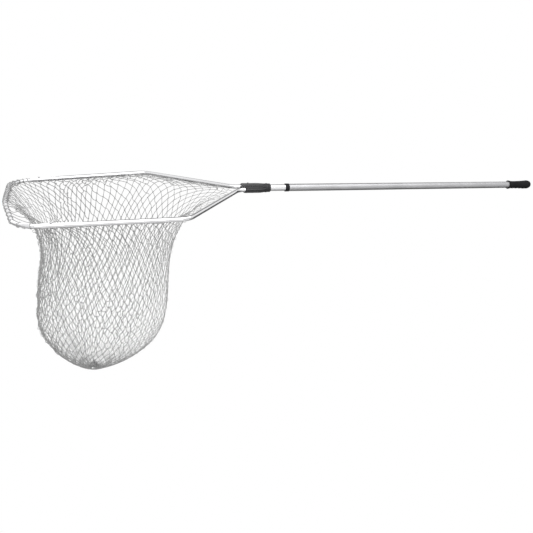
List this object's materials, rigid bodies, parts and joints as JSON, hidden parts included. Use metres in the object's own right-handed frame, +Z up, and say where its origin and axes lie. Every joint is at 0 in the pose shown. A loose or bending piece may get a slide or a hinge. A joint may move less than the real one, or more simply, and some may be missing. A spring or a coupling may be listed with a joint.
{
  "type": "landing net",
  "caption": "Landing net with a deep knotted bag on a bent-tube hoop, a moulded yoke and a telescoping twist-lock pole with a moulded hand grip.",
  "frame": {"origin": "on the pole's axis, in the middle of the grip, where a hand holds the net", "axes": "+X along the pole towards the grip's butt, so the hoop lies towards -X; +Z up, out of the bag's mouth; +Y to the far side of the picture"},
  "size_m": [2.0009, 0.6096, 0.6221],
  "materials": {
    "satin_aluminium": "satin anodised",
    "bright_aluminium": "bright drawn",
    "dark_plastic": "dark grey moulded",
    "black_plastic": "black moulded",
    "black_rubber": "black moulded, soft",
    "net_twine": "grey twisted twine",
    "steel": "plain",
    "lock_plastic": "natural moulded"
  },
  "bodies": {
    "handle": {"outer_tube": "satin_aluminium", "collar": "black_plastic", "grip": "black_rubber"},
    "lock": {"lock_expander": "lock_plastic"},
    "head": {"inner_tube": "bright_aluminium", "lock_plug": "lock_plastic", "lock_stop": "steel", "lock_stop_screw": "steel", "yoke": "dark_plastic", "pole_rivet": "steel", "left_arm": "bright_aluminium", "right_arm": "bright_aluminium", "tip_bow": "bright_aluminium", "left_rim_cord": "net_twine", "right_rim_cord": "net_twine", "arm_screw_left": "steel", "arm_screw_right": "steel", "arm_nut_left": "steel", "arm_nut_right": "steel", "bow_rivet_left": "steel", "bow_rivet_right": "steel", "net_bag": "net_twine", "gather_cord": "net_twine"},
    "cone": {"lock_cone": "lock_plastic"}
  },
  "joints": [
    {"name": "pole_slide", "type": "slide", "parent": "handle", "child": "lock", "axis": [-1, 0, 0], "range_m": [-0.05, 0.8]},
    {"name": "head_twist", "type": "hinge", "parent": "lock", "child": "head", "pos_m": [-0.1134, 0, 0], "axis": [1, 0, 0], "range_deg": [0, 180]},
    {"name": "cone_travel", "type": "slide", "parent": "lock", "child": "cone", "axis": [1, 0, 0], "range_m": [0, 0.002]}
  ],
  "couplings": [
    {"joint": "cone_travel", "follows": "head_twist", "m_per_rad": 0.00063661}
  ]
}
